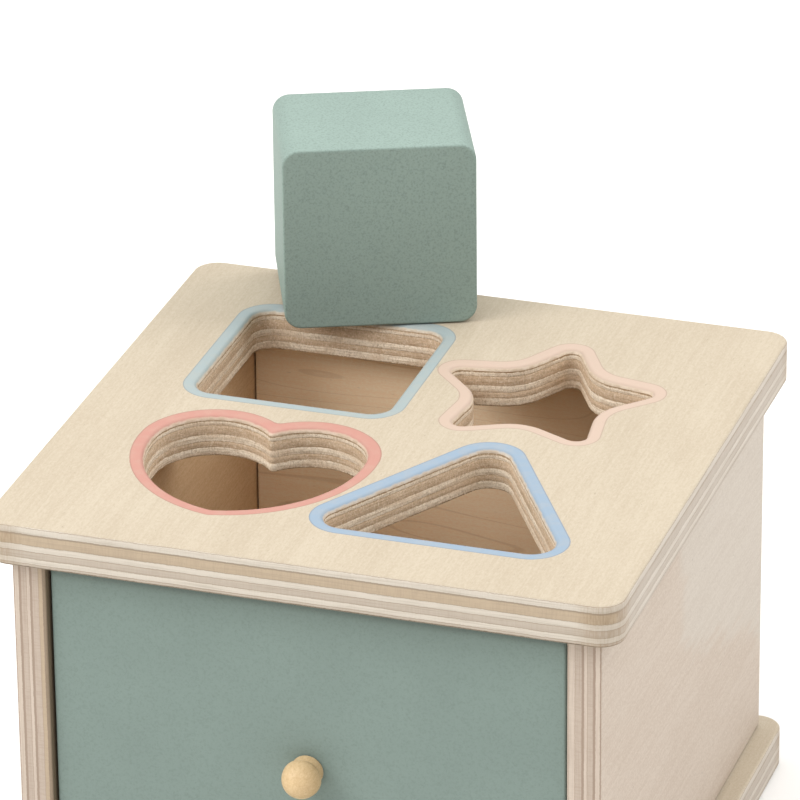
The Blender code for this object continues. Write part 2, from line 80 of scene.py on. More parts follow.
# Boards, panels and blocks
BOARD_CORNER_RADIUS = 6 * MM
BLOCK_CLEARANCE = 0.8 * MM
BLOCK_YAW = math.radians(22.7)
SCREW_MOUTH_MARGIN = 0.3 * MM
SCREW_MOUTH_DEPTH = 3 * MM
SCREW_SHANK_BORE_RADIUS = 2.1 * MM

# Eased edges, and the strip of flat face kept inside each
BOARD_EASE = 0.7 * MM
PANEL_EASE = 0.4 * MM
DRAWER_FRONT_EASE = 0.6 * MM
BLOCK_EASE = 0.5 * MM
HOLE_LOWER_EASE = 0.3 * MM
SCREW_MOUTH_EASE_OUT = 0.2 * MM
SCREW_MOUTH_EASE_DEPTH = 0.3 * MM
FACE_MARGIN = 0.3 * MM

# Grooves at the glue lines, and how far a sawn wall's points stray at random
PLY_GROOVE = 0.05 * MM
PLY_GROOVE_HALF_WIDTH = 0.15 * MM
WALL_STRAY = 0.02 * MM
WALL_SEED = 7

# Facets: steps along straights and round arcs, sides of round pieces, and the angles from which an edge is
# sharp, in degrees
EDGE_STEP = 1.5 * MM
EASE_STEPS = 4
RING_EASE_STEPS = 6
HOLE_LOWER_EASE_STEPS = 2
SQUARE_CORNER_STEPS = 16
TRIANGLE_CORNER_STEPS = 20
STAR_CORNER_STEPS = 12
STAR_STRAIGHT_STEPS = 5
HEART_TIP_STEPS = 8
HEART_FLANK_STEPS = 18
HEART_LOBE_STEPS = 36
HEART_CLEFT_STEPS = 6
KNOB_NECK_STEPS = 10
KNOB_DOME_STEPS = 20
TURNED_SIDES = 72
SCREW_MOUTH_SIDES = 40
FLOOR_SIDES = 96
SHARP_ANGLE = 40.0
BOX_SHARP_ANGLE = 60.0

# The knob
KNOB_HEIGHT = 59.4 * MM
KNOB_RADIUS = 4.6 * MM
KNOB_RIM_DISTANCE = 4 * MM
KNOB_NECK_RADIUS = 3.4 * MM
KNOB_FOOT_LENGTH = 0.6 * MM
KNOB_FOOT_RADIUS = 3.8 * MM
KNOB_BORE_RADIUS = 1.8 * MM
KNOB_BORE_DEPTH = 5.9 * MM

# Wear and painted shade, in millimetres: how far each kind reaches, or from where to where it fades or
# grows. The scorch on the board corners is wear; the darkening of the drawer front, the left panel and the
# drawer back is painted shade
CORNER_SCORCH_REACH = 5.0
FRONT_SHADE_DEPTHS = (0.0, 5.0)
FRONT_DEEP_SHADE_DEPTHS = (2.4, 4.4)
PANEL_GAP_SHADE_DEPTHS = (3.0, 9.0)
DRAWER_SHADE_SPAN = (-5.0, 45.0)

# The flame of sapwood on the right panel, in millimetres: where its lower and front edges fade, how steeply
# the lower edge rises towards the front, and how far each edge wanders
FLAME_LOWER_EDGE = (62.0, 70.0)
FLAME_FRONT_EDGE = (-7.0, 0.0)
FLAME_RISE = 0.42
FLAME_LOWER_WANDER = 34.0
FLAME_FRONT_WANDER = 22.0

# Camera: where it looks from, and where the top board's middle lies in its view
CAMERA_YAW = 0.3176
CAMERA_PITCH = 0.4456
CAMERA_ROLL = 0.0101
CAMERA_DISTANCE = 1.4519
CAMERA_LENS = 280.98
SENSOR_WIDTH = 36.0
BOARD_MIDDLE_RIGHT = -0.4 * MM
BOARD_MIDDLE_DOWN = 5.62 * MM

# Colours, linear
VENEER_LIGHT = (0.484, 0.417, 0.318)
VENEER_DARK = (0.413, 0.343, 0.253)
SIDE_LIGHT = (0.505, 0.43, 0.358)
SIDE_DARK = (0.43, 0.345, 0.275)
PATCH_LIGHT = (0.515, 0.461, 0.397)
PATCH_DARK = (0.455, 0.397, 0.335)
PLY_LIGHT = (0.580, 0.522, 0.445)
PLY_BROWN = (0.448, 0.352, 0.247)
PLY_GLUE = (0.34, 0.28, 0.20)
PLY_GREY = (0.452, 0.386, 0.316)
PLY_PALE_GREY = (0.442, 0.381, 0.321)
PLY_PALE = (0.521, 0.465, 0.400)
PLY_LINE = (0.297, 0.234, 0.170)
# Dark brown: painted shade on the boards' lower edges, and the thin darker line round each painted ring
PLY_SHADE_AND_RIM_LINE = (0.10, 0.075, 0.05)
PLY_SCORCH = (0.30, 0.21, 0.125)
PANEL_PLY_LIGHT = (0.554, 0.466, 0.387)
PANEL_PLY_MID = (0.471, 0.387, 0.317)
PANEL_PLY_LINE = (0.327, 0.245, 0.189)
PANEL_PLY_BROWN = (0.25, 0.19, 0.13)
# Painted shade for the left panel's inner face beside the drawer front
PANEL_GAP_SHADE = (0.20, 0.15, 0.10)
# The hole walls' colours are paler than the same plywood on the boards' outer edges: painted light inside
# the holes
HOLE_LIGHT = (0.87, 0.755, 0.605)
HOLE_BROWN = (0.64, 0.485, 0.34)
HOLE_LINE = (0.38, 0.26, 0.155)
HOLE_CHIP = (0.95, 0.84, 0.68)
# The drawer's back and floor: very pale, painted light for the dim inside of the case
DRAWER_BACK_LIGHT = (0.97, 0.80, 0.58)
DRAWER_BACK_DARK = (0.94, 0.71, 0.47)
DRAWER_SHADE_AND_GRAIN = (0.52, 0.31, 0.15)
# Browner wood for the drawer sides' inner faces, painted shade inside the drawer
DRAWER_LIGHT = (0.70, 0.50, 0.31)
DRAWER_DARK = (0.60, 0.40, 0.22)
SAGE = (0.244, 0.318, 0.281)
# The drawer front's sage is the block's sage made darker: painted shade on the drawer front
SAGE_SHADED_FRONT = (0.194, 0.250, 0.223)
# Shares of the paint's colour for the painted shade under the drawer front's top edge
PAINT_SHADE_SHARES = (0.22, 0.198, 0.176)
CORAL = (0.563, 0.274, 0.215)
PEACH = (0.607, 0.444, 0.333)
BLUE = (0.311, 0.422, 0.548)
SAGE_RING = (0.305, 0.355, 0.355)
CORAL_RING = (0.453, 0.228, 0.183)
PEACH_RING = (0.492, 0.374, 0.298)
BLUE_RING = (0.250, 0.322, 0.398)
KNOB_LIGHT = (0.630, 0.466, 0.267)
KNOB_DARK = (0.52, 0.355, 0.18)
DOWEL = (0.49, 0.39, 0.27)
STEEL = (0.56, 0.55, 0.53)
FLOOR = (0.80, 0.79, 0.77)

# Floor and light: the dome's strength low and high, then each softbox's place, size and power
FLOOR_RADIUS = 4.0
FLOOR_DROP = 0.2 * MM
DOME_LOW = 0.03
DOME_HIGH = 1.88
SOFTBOX_AIM = (0.0, 0.0, 0.08)
SOFTBOXES = {
    "left_softbox": ((-1.10, -0.36, 0.98), 1.5, 5.1),
    "right_softbox": ((1.05, 0.49, 0.98), 1.5, 10.8),
    "front_softbox": ((-0.80, -0.80, 0.95), 0.9, 8.8),
}

# What the top board's from_hole attribute says away from the painted rings
AWAY_FROM_HOLES = 10.0

# Plies of each sheet, from its top or outer face on: share of the thickness, the colour on its front and
# back edges, the colour on its side edges, and how strongly it is streaked
SHARE, FRONT_EDGE, SIDE_EDGE, STREAKED = range(4)
GLUE_HALF_WIDTH = 0.012
GLUE_STREAKED = 0.5
BOARD_PLIES = (
    (0.03, PLY_LIGHT, PLY_PALE, 0.1),
    (0.15, PLY_LIGHT, PLY_PALE, 0.4),
    (0.025, PLY_GLUE, PLY_PALE_GREY, 1.0),
    (0.238, PLY_BROWN, PLY_PALE_GREY, 1.0),
    (0.15, PLY_LIGHT, PLY_PALE, 0.2),
    (0.167, PLY_GREY, PLY_PALE_GREY, 0.6),
    (0.135, PLY_LIGHT, PLY_PALE, 0.3),
    (0.06, PLY_GREY, PLY_PALE_GREY, 0.8),
    # The lowest ply's front and back edges are painted shade: the dark line under the board's edge
    (0.045, PLY_SHADE_AND_RIM_LINE, PLY_LINE, 0.5),
)
HOLE_PLIES = (
    (0.145, HOLE_LINE, HOLE_LINE, 0.6),
    (0.10, HOLE_LIGHT, HOLE_LIGHT, 0.5),
    (0.23, HOLE_BROWN, HOLE_BROWN, 1.0),
    (0.17, HOLE_LIGHT, HOLE_LIGHT, 0.6),
    (0.142, HOLE_BROWN, HOLE_BROWN, 1.0),
    (0.183, HOLE_LIGHT, HOLE_LIGHT, 0.8),
    (0.03, HOLE_LINE, HOLE_LINE, 0.8),
)
PANEL_PLIES = (
    (0.04, PANEL_PLY_LINE, PANEL_PLY_LINE, 0.3),
    (0.14, PANEL_PLY_LIGHT, PANEL_PLY_LIGHT, 0.3),
    (0.06, PANEL_PLY_LINE, PANEL_PLY_LINE, 0.6),
    (0.17, PANEL_PLY_MID, PANEL_PLY_MID, 1.0),
    (0.10, PANEL_PLY_LIGHT, PANEL_PLY_LIGHT, 0.3),
    (0.06, PANEL_PLY_LINE, PANEL_PLY_LINE, 0.6),
    (0.20, PANEL_PLY_MID, PANEL_PLY_MID, 1.0),
    (0.18, PANEL_PLY_LIGHT, PANEL_PLY_LIGHT, 0.4),
    (0.05, PANEL_PLY_MID, PANEL_PLY_MID, 0.6),
)
# The left panel's two innermost plies are dark brown, partly the wood's own colour and partly painted shade
# for the gap beside the drawer front
DARK_INNER_PLIES = (
    *PANEL_PLIES[:7],
    (0.12, PLY_BROWN, PLY_BROWN, 0.8),
    (0.11, PANEL_PLY_BROWN, PANEL_PLY_BROWN, 0.8),
)
THIN_PLIES = (
    (0.30, PANEL_PLY_LIGHT, PANEL_PLY_LIGHT, 0.3),
    (0.40, PANEL_PLY_MID, PANEL_PLY_MID, 1.0),
    (0.30, PANEL_PLY_LIGHT, PANEL_PLY_LIGHT, 0.3),
)


# Node trees

def add(tree, kind, inputs=None, **settings):
    """A shader node with its settings, and its inputs given as values or as other nodes' sockets."""
    node = tree.nodes.new("ShaderNode" + kind)
    for name, value in settings.items():
        setattr(node, name, value)
    for name, value in (inputs or {}).items():
        if isinstance(value, bpy.types.NodeSocket):
            tree.links.new(value, node.inputs[name])
        else:
            node.inputs[name].default_value = value
    return node


def maths(tree, operation, first, second=0.0):
    return add(tree, "Math", {0: first, 1: second}, operation=operation).outputs[0]


def plus(tree, first, second):
    return maths(tree, "ADD", first, second)


def times(tree, first, second):
    return maths(tree, "MULTIPLY", first, second)


def sway(tree, value, size):
    """A value that varies about a half, made to vary about nought by so much of size."""
    return times(tree, maths(tree, "SUBTRACT", value, 0.5), size)


def mix(tree, factor, first, second):
    colours = [(*c, 1.0) if isinstance(c, tuple) else c for c in (first, second)]
    inputs = {0: factor, 6: colours[0], 7: colours[1]}
    return add(tree, "Mix", inputs, data_type="RGBA").outputs[2]


def tinted(tree, colour, other, mask, strength):
    """A colour turned towards another by strength where the mask is 1."""
    return mix(tree, times(tree, mask, strength), colour, other)


def dimmed(colour, share):
    return tuple(share * c for c in colour)


def noise(tree, place, cells, detail=2.0, roughness=0.5, distortion=0.0):
    """Noise with so many cells per millimetre, given as one number or as one for each axis."""
    if isinstance(cells, tuple):
        place = add(tree, "VectorMath", {0: place, 1: cells}, operation="MULTIPLY").outputs[0]
        cells = 1.0
    inputs = {
        "Vector": place,
        "Scale": cells,
        "Detail": detail,
        "Roughness": roughness,
        "Distortion": distortion,
    }
    return add(tree, "TexNoise", inputs).outputs["Fac"]


def drawn_out(axis, along, across):
    """Cells per millimetre for noise that differs along one axis from the other two."""
    return tuple(along if i == axis else across for i in (X, Y, Z))


def between(tree, value, low, high):
    """0 where value is at or beyond low and 1 at or beyond high, with a smooth change between them."""
    inputs = {"Value": value, "From Min": low, "From Max": high}
    return add(tree, "MapRange", inputs, interpolation_type="SMOOTHSTEP").outputs[0]


def ramp(tree, factor, stops):
    """A colour ramp; each stop is (position, colour, alpha)."""
    node = add(tree, "ValToRGB", {0: factor})
    points = node.color_ramp.elements
    for position, colour, alpha in stops[1:-1]:
        points.new(position).color = (*colour, alpha)
    for point, (position, colour, alpha) in ((points[0], stops[0]), (points[-1], stops[-1])):
        point.position = position
        point.color = (*colour, alpha)
    return node


def new_material(name, roughness, specular):
    material = bpy.data.materials.new(name)
    material.use_nodes = True
    tree = material.node_tree
    shader = tree.nodes["Principled BSDF"]
    shader.inputs["Roughness"].default_value = roughness
    shader.inputs["Specular IOR Level"].default_value = specular
    return material, tree, shader


def millimetres(tree):
    """The place on the piece, in millimetres in the CAD model's frame."""
    place = add(tree, "TexCoord").outputs["Object"]
    return add(tree, "VectorMath", {0: place, "Scale": 1 / MM}, operation="SCALE").outputs[0]


def axis_of(tree, vector, axis):
    return add(tree, "SeparateXYZ", {0: vector}).outputs[axis]


def normal_along(tree, axis):
    return axis_of(tree, add(tree, "TexCoord").outputs["Normal"], axis)


def relief(tree, shader, height, distance, strength):
    inputs = {"Height": height, "Distance": distance, "Strength": strength}
    bump = add(tree, "Bump", inputs)
    tree.links.new(bump.outputs["Normal"], shader.inputs["Normal"])


# Woods: banded and fine set how strong the broad bands and the fine lines are

def veneer(tree, place, light, dark, grain=Y, banded=1.0, fine=1.0):
    """Sliced wood: soft broad bands, fine close lines, a slight mottle and a few tiny dark flecks."""
    bands = noise(tree, place, drawn_out(grain, 0.012, 0.11), 3.0, 0.55, 0.6)
    lines = noise(tree, place, drawn_out(grain, 0.05, 1.5), 3.0, 0.65)
    cloud = noise(tree, place, drawn_out(grain, 0.02, 0.035))
    mottle = noise(tree, place, drawn_out(grain, 1.0, 2.5), 3.0, 0.8)
    pores = noise(tree, place, drawn_out(grain, 0.45, 2.4), 1.0)
    tone = sway(tree, bands, 0.17 * banded)
    for part, share in ((lines, 0.24 * fine), (cloud, 0.14 * banded), (mottle, 0.50 * fine)):
        tone = plus(tree, tone, sway(tree, part, share))
    colour = mix(tree, between(tree, tone, -0.13, 0.13), dark, light)
    flecks = between(tree, pores, 0.70, 0.80)
    colour = tinted(tree, colour, dimmed(dark, 0.5), flecks, 0.35)
    return colour, plus(tree, times(tree, lines, 0.5), times(tree, mottle, 0.5))


def ply_stops(plies, line, edge):
    """Ramp stops for the layers seen on a sheet's edge, with a thin glue line between one and the next."""
    stops = [(0.0, plies[0][edge], plies[0][STREAKED])]
    place = 0.0
    for ply, after in zip(plies, plies[1:]):
        place += ply[SHARE]
        stops.append((place - GLUE_HALF_WIDTH, ply[edge], ply[STREAKED]))
        stops.append((place, line, GLUE_STREAKED))
        stops.append((place + GLUE_HALF_WIDTH, after[edge], after[STREAKED]))
    stops.append((1.0, plies[-1][edge], plies[-1][STREAKED]))
    return stops


def sheet_depth(tree, place, node, axis):
    """How far through the sheet's thickness a point is, from 0 at its top, right or rear face to 1."""
    low, high = (corner[axis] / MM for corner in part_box(node))
    inputs = {"Value": axis_of(tree, place, axis), "From Min": high, "From Max": low}
    return add(tree, "MapRange", inputs).outputs[0]


def ply_edge(
    tree,
    place,
    depth,
    axis,
    plies,
    line,
    wobble=0.03,
    darkening=0.25,
    streak=(2.6, 0.3),
    lined=0.36,
):
    """The layers of plywood on its edge.

    Wobble is how uneven the layers are, streak how close the streaks are along the sheet and through it,
    dirt how dark they are, and lined how dark the fine fibres are.
    """
    drift = noise(tree, place, drawn_out(axis, 0.02, 0.10))
    teeth = noise(tree, place, drawn_out(axis, 0.2, 1.3), 2.0, 0.6)
    uneven = plus(tree, sway(tree, drift, 1.0), sway(tree, teeth, 1.0))
    depth = plus(tree, depth, times(tree, uneven, wobble))
    ends = ramp(tree, depth, ply_stops(plies, line, FRONT_EDGE))
    colour = ends.outputs["Color"]
    if axis == Z:
        sideways = maths(tree, "ABSOLUTE", normal_along(tree, X))
        sides = ramp(tree, depth, ply_stops(plies, line, SIDE_EDGE))
        colour = mix(tree, between(tree, sideways, 0.75, 0.95), colour, sides.outputs["Color"])
    along_sheet, through = streak
    streaks = noise(tree, place, drawn_out(axis, through, along_sheet), 3.0, 0.7)
    dark_streaks = times(tree, between(tree, streaks, 0.40, 0.68), ends.outputs["Alpha"])
    colour = tinted(tree, colour, line, dark_streaks, darkening)
    fibres = noise(tree, place, drawn_out(axis, 4.0, 0.07), 3.0, 0.6)
    colour = tinted(tree, colour, line, between(tree, fibres, 0.46, 0.70), lined)
    patches = noise(tree, place, 0.12, 3.0, 0.6)
    colour = tinted(tree, colour, line, between(tree, patches, 0.45, 0.75), 0.10)
    if axis == Z:
        scorch = plus(tree, times(tree, dark_streaks, 0.5), 0.22)
        colour = tinted(tree, colour, PLY_SCORCH, near_corner(tree, place), scorch)
    return colour, streaks


def near_corner(tree, place):
    """1 on the rounded corners of the square boards, fading out a little way along their sides."""
    low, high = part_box("top_board")
    corner_start = (high.x - low.x - BOARD_CORNER_RADIUS) / MM
    across = maths(tree, "ABSOLUTE", axis_of(tree, place, X))
    from_middle = plus(tree, across, maths(tree, "ABSOLUTE", axis_of(tree, place, Y)))
    return between(tree, from_middle, corner_start - CORNER_SCORCH_REACH, corner_start)


def plywood(
    name,
    node,
    axis,
    light=VENEER_LIGHT,
    dark=VENEER_DARK,
    plies=BOARD_PLIES,
    line=PLY_LINE,
    **cut,
):
    """A plywood sheet, thin along axis: veneer on its faces and layers on its edges.

    It gives back the parts, which a material may change before finish_plywood joins them. The options in
    cut go on to veneer.
    """
    material, tree, shader = new_material(name, 0.55, 0.25)
    place = millimetres(tree)
    face, lines = veneer(tree, place, light, dark, **cut)
    edge, streaks = ply_edge(tree, place, sheet_depth(tree, place, node, axis), axis, plies, line)
    on_face = between(tree, maths(tree, "ABSOLUTE", normal_along(tree, axis)), 0.60, 0.80)
    return SimpleNamespace(
        material=material,
        tree=tree,
        shader=shader,
        place=place,
        face=face,
        edge=edge,
        on_face=on_face,
        lines=lines,
        streaks=streaks,
    )


def finish_plywood(sheet):
    """Joins the parts of a plywood sheet in one colour and one relief, and gives back the material."""
    tree, shader = sheet.tree, sheet.shader
    tree.links.new(mix(tree, sheet.on_face, sheet.edge, sheet.face), shader.inputs["Base Color"])
    heights = {0: sheet.on_face, 2: sheet.streaks, 3: sheet.lines}
    relief(tree, shader, add(tree, "Mix", heights, data_type="FLOAT").outputs[0], 0.06 * MM, 0.5)
    return sheet.material


def ringed_plywood(name, node):
    """The top board's faces: veneer, and the painted rings where the piece's own attributes say so."""
    sheet = plywood(name, node, Z)
    tree, place = sheet.tree, sheet.place
    across = add(tree, "Attribute", attribute_name="from_hole").outputs["Fac"]
    paint = add(tree, "Attribute", attribute_name="ring_colour").outputs["Color"]
    width = RING_WIDTH / MM
    wavering = plus(tree, across, sway(tree, noise(tree, place, 2.2, 3.0, 0.6), 0.22))
    painted = between(tree, wavering, width + 0.06, width - 0.06)
    broad = noise(tree, place, 0.28, 3.0, 0.6)
    ring = tinted(tree, paint, sheet.face, between(tree, broad, 0.40, 0.68), 0.14)
    rim = times(tree, between(tree, wavering, width - 0.42, width - 0.08), painted)
    # A thin darker line along each painted ring's outer border
    ring = tinted(tree, ring, PLY_SHADE_AND_RIM_LINE, rim, 0.32)
    uneven = noise(tree, place, 0.55, 4.0, 0.65)
    worn_to = times(tree, uneven, 0.6)
    bare = between(tree, maths(tree, "SUBTRACT", worn_to, across), -0.10, 0.30)
    bare_wood = tinted(tree, HOLE_LIGHT, HOLE_LINE, between(tree, uneven, 0.30, 0.62), 0.6)
    ring = tinted(tree, ring, bare_wood, bare, 0.9)
    sheet.face = mix(tree, painted, sheet.face, ring)
    in_ring = maths(tree, "LESS_THAN", across, width + 1.0)
    sheet.on_face = maths(tree, "MAXIMUM", sheet.on_face, in_ring)
    return finish_plywood(sheet)


def hole_wall_plywood(name, node):
    """The sawn walls of the holes: warm plies, dull in places, with pale torn fibres low down. Their colours
    are paler than the boards' outer edges, as painted light inside the holes.
    """
    material, tree, shader = new_material(name, 0.75, 0.15)
    place = millimetres(tree)
    depth = sheet_depth(tree, place, node, Z)
    rough = {"wobble": 0.05, "darkening": 0.40, "streak": (0.5, 2.4), "lined": 0.55}
    colour, streaks = ply_edge(tree, place, depth, Z, HOLE_PLIES, HOLE_LINE, **rough)
    dull = noise(tree, place, drawn_out(Z, 0.45, 0.10))
    colour = tinted(tree, colour, HOLE_BROWN, between(tree, dull, 0.47, 0.60), 0.55)
    grit = noise(tree, place, drawn_out(Z, 1.6, 2.0), 4.0, 0.8)
    colour = tinted(tree, colour, HOLE_LINE, between(tree, grit, 0.52, 0.34), 0.50)
    tufts = noise(tree, place, drawn_out(Z, 1.3, 1.9), 3.0, 0.75, 0.8)
    colour = tinted(tree, colour, HOLE_CHIP, between(tree, tufts, 0.53, 0.66), 0.36)
    colour = tinted(tree, colour, HOLE_LINE, between(tree, tufts, 0.47, 0.34), 0.45)
    torn = noise(tree, place, drawn_out(Z, 1.6, 0.8), 3.0, 0.7)
    low_down = plus(tree, times(tree, between(tree, depth, 0.74, 0.92), 0.5), 0.14)
    colour = tinted(tree, colour, HOLE_CHIP, between(tree, torn, 0.56, 0.68), low_down)
    tree.links.new(colour, shader.inputs["Base Color"])
    height = plus(tree, times(tree, grit, 0.8), times(tree, streaks, 0.6))
    relief(tree, shader, height, 0.2 * MM, 0.7)
    return material


def side_panel_plywood(name, node, plies):
    look = {"light": SIDE_LIGHT, "dark": SIDE_DARK, "line": PANEL_PLY_LINE, "banded": 0.4, "fine": 1.45}
    return plywood(name, node, X, plies=plies, **look)


def right_panel_plywood(name, node):
    """The right side panel, with a pale torn flame of sapwood that runs up to its rear edge."""
    sheet = side_panel_plywood(name, node, PANEL_PLIES)
    tree, place = sheet.tree, sheet.place
    y = axis_of(tree, place, Y)
    z = axis_of(tree, place, Z)
    ragged = sway(tree, noise(tree, place, (0.02, 0.045, 0.32), 4.0, 0.65), FLAME_LOWER_WANDER)
    slope = plus(tree, z, times(tree, y, FLAME_RISE))
    above = between(tree, plus(tree, slope, ragged), *FLAME_LOWER_EDGE)
    torn = sway(tree, noise(tree, place, drawn_out(Z, 0.11, 0.02), 3.0, 0.6), FLAME_FRONT_WANDER)
    behind = between(tree, plus(tree, y, torn), *FLAME_FRONT_EDGE)
    sapwood, _ = veneer(tree, place, PATCH_LIGHT, PATCH_DARK, banded=0.4, fine=1.6)
    sheet.face = tinted(tree, sheet.face, sapwood, times(tree, above, behind), 0.85)
    return finish_plywood(sheet)


def left_panel_plywood(name, node):
    """The left side panel, with painted shade on its inner face along its front edge, for the shaded gap
    beside the drawer front.
    """
    sheet = side_panel_plywood(name, node, DARK_INNER_PLIES[::-1])
    tree = sheet.tree
    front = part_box(node)[0].y / MM
    full, clear = (front + depth for depth in PANEL_GAP_SHADE_DEPTHS)
    by_front = between(tree, axis_of(tree, sheet.place, Y), clear, full)
    inside = between(tree, normal_along(tree, X), 0.5, 0.8)
    sheet.face = tinted(tree, sheet.face, PANEL_GAP_SHADE, by_front, inside)
    return finish_plywood(sheet)


def drawer_side_plywood(name, node, inward):
    """A drawer side: pale outside and browner on the face that inward points to, along X; the browner inner
    face is painted shade inside the drawer.
    """
    sheet = plywood(name, node, X, plies=THIN_PLIES)
    tree = sheet.tree
    inner, _ = veneer(tree, sheet.place, DRAWER_LIGHT, DRAWER_DARK, fine=1.5)
    on_inside = between(tree, times(tree, normal_along(tree, X), inward), 0.5, 0.8)
    sheet.face = mix(tree, on_inside, sheet.face, inner)
    return finish_plywood(sheet)


def drawer_board_plywood(name, node, axis):
    """The drawer's back or floor: very pale, as painted light for the dim inside of the case, browner
    towards the right as painted shade, with a few fine growth lines.
    """
    look = {"light": DRAWER_BACK_LIGHT, "dark": DRAWER_BACK_DARK, "plies": THIN_PLIES}
    sheet = plywood(name, node, axis, grain=X, fine=1.5, **look)
    tree, place = sheet.tree, sheet.place
    # Painted shade: browner towards the right
    shade_to_right = between(tree, axis_of(tree, place, X), *DRAWER_SHADE_SPAN)
    face = tinted(tree, sheet.face, DRAWER_SHADE_AND_GRAIN, shade_to_right, 0.50)
    growth = noise(tree, place, drawn_out(X, 0.009, 0.06), 1.0, 0.3)
    rings = maths(tree, "SINE", times(tree, growth, 60.0))
    sheet.face = tinted(tree, face, DRAWER_SHADE_AND_GRAIN, between(tree, rings, 0.975, 1.0), 0.26)
    return finish_plywood(sheet)


def back_panel_plywood(name, node):
    return finish_plywood(plywood(name, node, Y, SIDE_LIGHT, SIDE_DARK, THIN_PLIES, grain=X))


def base_plywood(name, node):
    return finish_plywood(plywood(name, node, Z))


# Other materials

def paint_finish(name, colour, speckle=0.5, wood_cells=(1.1, 1.1, 1.1), top_edge=None):
    """Matt paint on wood: faint clouds, a fine speckle, and the wood's texture still felt through it.

    Where top_edge is given, in millimetres, painted shade darkens the front face just under that height, for
    the top board's shadow.
    """
    material, tree, shader = new_material(name, 0.62, 0.22)
    place = millimetres(tree)
    clouds = noise(tree, place, 0.045)
    dots = noise(tree, place, 1.9, 3.0, 0.7)
    pores = noise(tree, place, wood_cells, 4.0, 0.7)
    base = mix(tree, between(tree, clouds, 0.3, 0.7), colour, dimmed(colour, 1.04))
    base = tinted(tree, base, dimmed(colour, 0.70), between(tree, dots, 0.44, 0.72), speckle)
    if top_edge:
        base = painted_shade_under_top(tree, place, base, colour, top_edge)
    tree.links.new(base, shader.inputs["Base Color"])
    height = plus(tree, times(tree, pores, 0.7), times(tree, dots, 0.6))
    relief(tree, shader, height, 0.12 * MM, 0.6)
    return material


def painted_shade_under_top(tree, place, base, colour, top_edge):
    """Painted shade on the paint's front face under its top edge, for the top board's shadow, in two layers
    that fade out downwards.
    """
    shade_amount = 0.0
    for (full, clear), strength in ((FRONT_SHADE_DEPTHS, 0.40), (FRONT_DEEP_SHADE_DEPTHS, 0.20)):
        layer = between(tree, axis_of(tree, place, Z), top_edge - clear, top_edge - full)
        shade_amount = plus(tree, shade_amount, times(tree, layer, strength))
    frontal = between(tree, normal_along(tree, Y), -0.80, -0.95)
    darkening = tuple(share * c for share, c in zip(PAINT_SHADE_SHARES, colour))
    return tinted(tree, base, darkening, shade_amount, frontal)


def solid_wood(name, light, dark, grain, roughness):
    material, tree, shader = new_material(name, roughness, 0.3)
    colour, lines = veneer(tree, millimetres(tree), light, dark, grain)
    tree.links.new(colour, shader.inputs["Base Color"])
    relief(tree, shader, lines, 0.06 * MM, 0.5)
    return material


def brushed_steel(name):
    material, tree, shader = new_material(name, 0.36, 0.5)
    shader.inputs["Metallic"].default_value = 1.0
    scuffs = noise(tree, millimetres(tree), 3.0, 4.0, 0.7)
    colour = mix(tree, between(tree, scuffs, 0.35, 0.7), STEEL, dimmed(STEEL, 0.72))
    tree.links.new(colour, shader.inputs["Base Color"])
    relief(tree, shader, scuffs, 0.03 * MM, 0.5)
    return material


# Outlines: each takes how far outside the hole's wall it runs, and always has the same number of points

def arc(centre, radius, start, end, steps):
    angles = [start + (end - start) * i / steps for i in range(steps + 1)]
    return [(centre[0] + radius * math.cos(a), centre[1] + radius * math.sin(a)) for a in angles]


def rounded_corner(before, corner, after, radius, steps):
    corner = Vector(corner)
    back = (Vector(before) - corner).normalized()
    on = (Vector(after) - corner).normalized()
    half = back.angle(on) / 2
    centre = corner + (back + on).normalized() * radius / math.sin(half)
    first = corner + back * radius / math.tan(half) - centre
    last = corner + on * radius / math.tan(half) - centre
    start = math.atan2(first.y, first.x)
    turn = math.remainder(math.atan2(last.y, last.x) - start, 2 * math.pi)
    return arc(centre, radius, start, start + turn, steps)


def rounded_polygon(corners, radii, steps, straight):
    """Rounded corners joined by straight runs, with each run divided in equal parts."""
    rounds = [
        rounded_corner(corners[i - 1], corner, corners[(i + 1) % len(corners)], radii[i], steps)
        for i, corner in enumerate(corners)
    ]
    points = []
    for i, here in enumerate(rounds):
        points += here
        start, end = Vector(here[-1]), Vector(rounds[(i + 1) % len(rounds)][0])
        points += [tuple(start.lerp(end, j / straight)) for j in range(1, straight)]
    return points


def square_outline(out=0.0, side=SQUARE_SIDE, radius=SQUARE_CORNER_RADIUS):
    half = side / 2 + out
    corners = [(half, half), (-half, half), (-half, -half), (half, -half)]
    return rounded_polygon(corners, [radius + out] * 4, SQUARE_CORNER_STEPS, round(side / EDGE_STEP))


def triangle_outline(out=0.0):
    reach = TRIANGLE_SIDE / math.sqrt(3) + 2 * out
    angles = [math.radians(a) for a in (90, 210, 330)]
    corners = [(reach * math.cos(a), reach * math.sin(a)) for a in angles]
    radii = [TRIANGLE_CORNER_RADIUS + out] * 3
    return rounded_polygon(corners, radii, TRIANGLE_CORNER_STEPS, round(TRIANGLE_SIDE / EDGE_STEP))


def star_outline(out=0.0):
    tip, valley, step = STAR_TIP_REACH, STAR_VALLEY_REACH, math.radians(36)
    edge = math.sqrt(tip**2 + valley**2 - 2 * tip * valley * math.cos(step))
    scale = 1 + out * edge / (tip * valley * math.sin(step))
    corners, radii = [], []
    for i in range(10):
        reach = (valley if i % 2 else tip) * scale
        angle = math.radians(90) + i * step
        corners.append((reach * math.cos(angle), reach * math.sin(angle)))
        radii.append(STAR_VALLEY_RADIUS - out if i % 2 else STAR_TIP_RADIUS + out)
    return rounded_polygon(corners, radii, STAR_CORNER_STEPS, STAR_STRAIGHT_STEPS)


